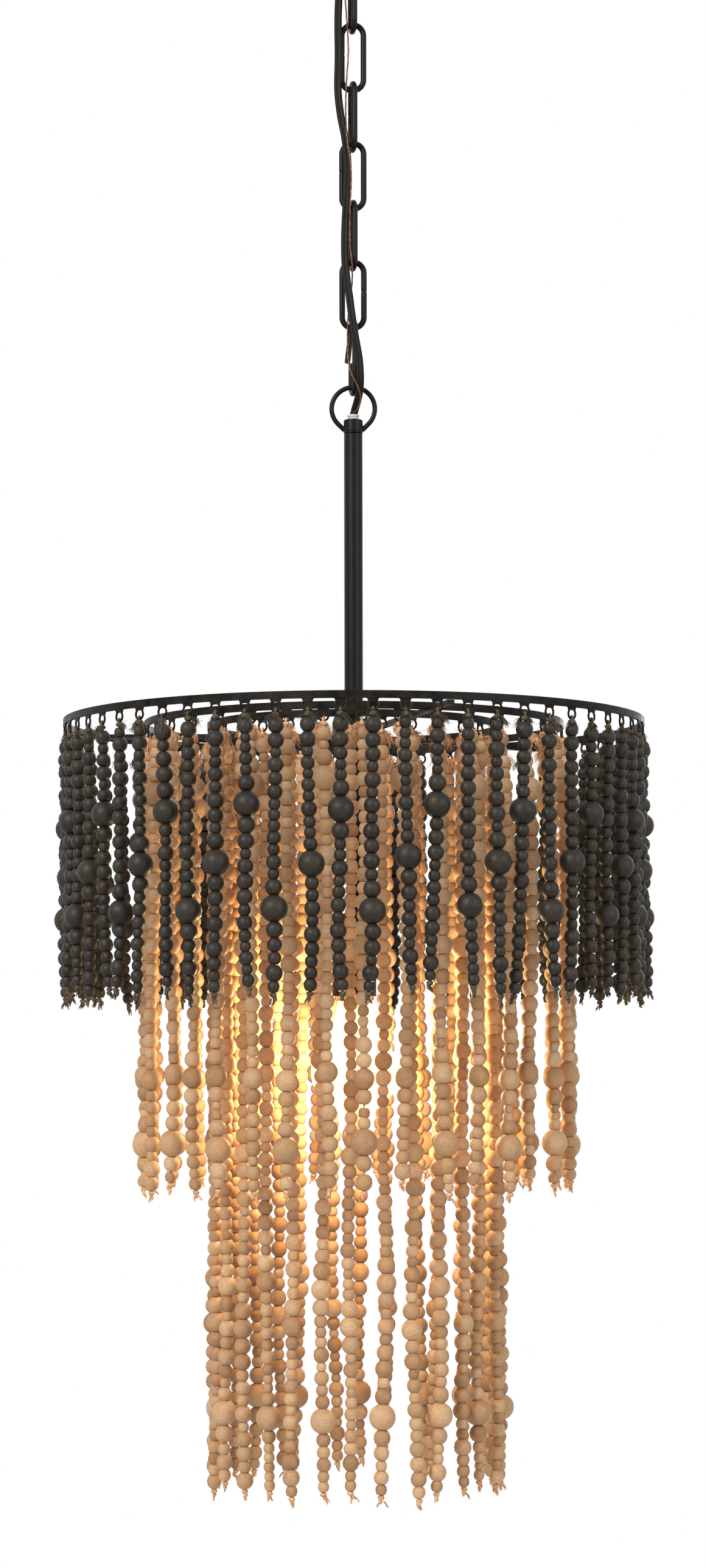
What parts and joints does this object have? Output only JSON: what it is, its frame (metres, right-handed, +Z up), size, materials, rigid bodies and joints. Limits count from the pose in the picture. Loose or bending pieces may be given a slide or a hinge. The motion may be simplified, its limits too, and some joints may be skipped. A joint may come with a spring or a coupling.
{
  "type": "beaded chandelier",
  "caption": "Tiered pendant chandelier: bead strands hang from concentric hoops around one bulb, on a stem and a chain.",
  "frame": {"origin": "where the vertical axis meets the ceiling, at the top of the canopy's rim", "axes": "+Z up, -Y towards the viewer of the picture, +X to the viewer's right"},
  "size_m": [0.4204, 0.421, 1.1502],
  "materials": {
    "black_steel": "satin black powder coat",
    "zinc_steel": "bright zinc plate",
    "connector_plastic": "plain",
    "cable_jacket": "smooth",
    "bare_copper": "dull copper",
    "bushing_plastic": "translucent",
    "socket_plastic": "moulded",
    "brass": "drawn",
    "bulb_glass": "clear",
    "black_beads": "black stain, matt",
    "natural_beads": "bare, matt"
  },
  "bodies": {
    "ceiling": {"crossbar": "zinc_steel", "outlet_screw_left": "zinc_steel", "outlet_screw_right": "zinc_steel", "threaded_nipple": "zinc_steel", "nipple_locknut": "zinc_steel", "canopy": "black_steel", "canopy_ring": "black_steel", "canopy_loop": "black_steel", "supply_connector": "connector_plastic", "power_cable": "cable_jacket", "ground_wire": "bare_copper"},
    "link_1": {"chain_link_1": "black_steel"},
    "link_2": {"chain_link_2": "black_steel"},
    "link_3": {"chain_link_3": "black_steel"},
    "link_4": {"chain_link_4": "black_steel"},
    "link_5": {"chain_link_5": "black_steel"},
    "link_6": {"chain_link_6": "black_steel"},
    "link_7": {"chain_link_7": "black_steel"},
    "fixture": {"cable_bushing": "bushing_plastic", "stem_loop": "black_steel", "stem": "black_steel", "hub": "black_steel", "cross_bar_1": "black_steel", "cross_bar_2": "black_steel", "cross_bar_3": "black_steel", "outer_hoop": "black_steel", "middle_hoop": "black_steel", "inner_hoop": "black_steel", "drop_pipe": "black_steel", "socket_cap": "black_steel", "socket_shell": "black_steel", "socket_body": "socket_plastic", "screw_shell": "brass", "bulb_base": "zinc_steel", "bulb_glass": "bulb_glass", "bulb_mount": "bulb_glass"},
    "outer_strands_1": {"outer_strands_1": "black_beads"},
    "outer_strands_2": {"outer_strands_2": "black_beads"},
    "outer_strands_3": {"outer_strands_3": "black_beads"},
    "outer_strands_4": {"outer_strands_4": "black_beads"},
    "outer_strands_5": {"outer_strands_5": "black_beads"},
    "outer_strands_6": {"outer_strands_6": "black_beads"},
    "outer_strands_7": {"outer_strands_7": "black_beads"},
    "outer_strands_8": {"outer_strands_8": "black_beads"},
    "outer_strands_9": {"outer_strands_9": "black_beads"},
    "outer_strands_10": {"outer_strands_10": "black_beads"},
    "middle_strands_1": {"middle_strands_1": "natural_beads"},
    "middle_strands_2": {"middle_strands_2": "natural_beads"},
    "middle_strands_3": {"middle_strands_3": "natural_beads"},
    "middle_strands_4": {"middle_strands_4": "natural_beads"},
    "middle_strands_5": {"middle_strands_5": "natural_beads"},
    "middle_strands_6": {"middle_strands_6": "natural_beads"},
    "inner_strands_1": {"inner_strands_1": "natural_beads"},
    "inner_strands_2": {"inner_strands_2": "natural_beads"},
    "inner_strands_3": {"inner_strands_3": "natural_beads"},
    "inner_strands_4": {"inner_strands_4": "natural_beads"},
    "inner_strands_5": {"inner_strands_5": "natural_beads"}
  },
  "joints": [
    {"name": "link_1_swing", "type": "hinge", "parent": "ceiling", "child": "link_1", "pos_m": [0, 0, -0.0607], "axis": [1, 0, 0], "range_deg": [-12, 12], "deforming": ["power_cable", "ground_wire"]},
    {"name": "link_2_swing", "type": "hinge", "parent": "link_1", "child": "link_2", "pos_m": [0, 0, -0.1029], "axis": [0, 1, 0], "range_deg": [-12, 12], "deforming": ["power_cable", "ground_wire"]},
    {"name": "link_3_swing", "type": "hinge", "parent": "link_2", "child": "link_3", "pos_m": [0, 0, -0.1449], "axis": [1, 0, 0], "range_deg": [-12, 12], "deforming": ["power_cable", "ground_wire"]},
    {"name": "link_4_swing", "type": "hinge", "parent": "link_3", "child": "link_4", "pos_m": [0, 0, -0.1869], "axis": [0, 1, 0], "range_deg": [-12, 12], "deforming": ["power_cable", "ground_wire"]},
    {"name": "link_5_swing", "type": "hinge", "parent": "link_4", "child": "link_5", "pos_m": [0, 0, -0.2289], "axis": [1, 0, 0], "range_deg": [-12, 12], "deforming": ["power_cable", "ground_wire"]},
    {"name": "link_6_swing", "type": "hinge", "parent": "link_5", "child": "link_6", "pos_m": [0, 0, -0.2709], "axis": [0, 1, 0], "range_deg": [-12, 12], "deforming": ["power_cable", "ground_wire"]},
    {"name": "link_7_swing", "type": "hinge", "parent": "link_6", "child": "link_7", "pos_m": [0, 0, -0.3129], "axis": [1, 0, 0], "range_deg": [-12, 12], "deforming": ["power_cable", "ground_wire"]},
    {"name": "fixture_swing", "type": "hinge", "parent": "link_7", "child": "fixture", "pos_m": [0, 0, -0.3589], "axis": [0, 1, 0], "range_deg": [-12, 12], "deforming": ["power_cable", "ground_wire"]},
    {"name": "outer_strands_1_swing", "type": "hinge", "parent": "fixture", "child": "outer_strands_1", "pos_m": [-0.01896, -0.19689, -0.5982], "axis": [-0.9954, 0.0958, 0], "range_deg": [-3, 8]},
    {"name": "outer_strands_2_swing", "type": "hinge", "parent": "fixture", "child": "outer_strands_2", "pos_m": [0.10039, -0.17043, -0.5982], "axis": [-0.8616, -0.5075, 0], "range_deg": [-3, 8]},
    {"name": "outer_strands_3_swing", "type": "hinge", "parent": "fixture", "child": "outer_strands_3", "pos_m": [0.1814, -0.07887, -0.5982], "axis": [-0.3987, -0.9171, 0], "range_deg": [-3, 8]},
    {"name": "outer_strands_4_swing", "type": "hinge", "parent": "fixture", "child": "outer_strands_4", "pos_m": [0.19311, 0.04281, -0.5982], "axis": [0.2164, -0.9763, 0], "range_deg": [-3, 8]},
    {"name": "outer_strands_5_swing", "type": "hinge", "parent": "fixture", "child": "outer_strands_5", "pos_m": [0.13107, 0.14814, -0.5982], "axis": [0.749, -0.6626, 0], "range_deg": [-3, 8]},
    {"name": "outer_strands_6_swing", "type": "hinge", "parent": "fixture", "child": "outer_strands_6", "pos_m": [0.01896, 0.19689, -0.5982], "axis": [0.9954, -0.0958, 0], "range_deg": [-3, 8]},
    {"name": "outer_strands_7_swing", "type": "hinge", "parent": "fixture", "child": "outer_strands_7", "pos_m": [-0.10039, 0.17043, -0.5982], "axis": [0.8616, 0.5075, 0], "range_deg": [-3, 8]},
    {"name": "outer_strands_8_swing", "type": "hinge", "parent": "fixture", "child": "outer_strands_8", "pos_m": [-0.1814, 0.07887, -0.5982], "axis": [0.3987, 0.9171, 0], "range_deg": [-3, 8]},
    {"name": "outer_strands_9_swing", "type": "hinge", "parent": "fixture", "child": "outer_strands_9", "pos_m": [-0.19311, -0.04281, -0.5982], "axis": [-0.2164, 0.9763, 0], "range_deg": [-3, 8]},
    {"name": "outer_strands_10_swing", "type": "hinge", "parent": "fixture", "child": "outer_strands_10", "pos_m": [-0.13107, -0.14814, -0.5982], "axis": [-0.749, 0.6626, 0], "range_deg": [-3, 8]},
    {"name": "middle_strands_1_swing", "type": "hinge", "parent": "fixture", "child": "middle_strands_1", "pos_m": [-0.00726, -0.13845, -0.59926], "axis": [-0.9986, 0.0523, 0], "range_deg": [-1.5, 5]},
    {"name": "middle_strands_2_swing", "type": "hinge", "parent": "fixture", "child": "middle_strands_2", "pos_m": [0.11627, -0.07551, -0.59926], "axis": [-0.5446, -0.8387, 0], "range_deg": [-1.5, 5]},
    {"name": "middle_strands_3_swing", "type": "hinge", "parent": "fixture", "child": "middle_strands_3", "pos_m": [0.12353, 0.06294, -0.59926], "axis": [0.454, -0.891, 0], "range_deg": [-1.5, 5]},
    {"name": "middle_strands_4_swing", "type": "hinge", "parent": "fixture", "child": "middle_strands_4", "pos_m": [0.00726, 0.13845, -0.59926], "axis": [0.9986, -0.0523, 0], "range_deg": [-1.5, 5]},
    {"name": "middle_strands_5_swing", "type": "hinge", "parent": "fixture", "child": "middle_strands_5", "pos_m": [-0.11627, 0.07551, -0.59926], "axis": [0.5446, 0.8387, 0], "range_deg": [-1.5, 5]},
    {"name": "middle_strands_6_swing", "type": "hinge", "parent": "fixture", "child": "middle_strands_6", "pos_m": [-0.12353, -0.06294, -0.59926], "axis": [-0.454, 0.891, 0], "range_deg": [-1.5, 5]},
    {"name": "inner_strands_1_swing", "type": "hinge", "parent": "fixture", "child": "inner_strands_1", "pos_m": [-0.01235, -0.09385, -0.6001], "axis": [-0.9914, 0.1305, 0], "range_deg": [-0.5, 4]},
    {"name": "inner_strands_2_swing", "type": "hinge", "parent": "fixture", "child": "inner_strands_2", "pos_m": [0.08544, -0.04075, -0.6001], "axis": [-0.4305, -0.9026, 0], "range_deg": [-0.5, 4]},
    {"name": "inner_strands_3_swing", "type": "hinge", "parent": "fixture", "child": "inner_strands_3", "pos_m": [0.06516, 0.06866, -0.6001], "axis": [0.7254, -0.6884, 0], "range_deg": [-0.5, 4]},
    {"name": "inner_strands_4_swing", "type": "hinge", "parent": "fixture", "child": "inner_strands_4", "pos_m": [-0.04517, 0.08319, -0.6001], "axis": [0.8788, 0.4772, 0], "range_deg": [-0.5, 4]},
    {"name": "inner_strands_5_swing", "type": "hinge", "parent": "fixture", "child": "inner_strands_5", "pos_m": [-0.09307, -0.01725, -0.6001], "axis": [-0.1822, 0.9833, 0], "range_deg": [-0.5, 4]}
  ]
}
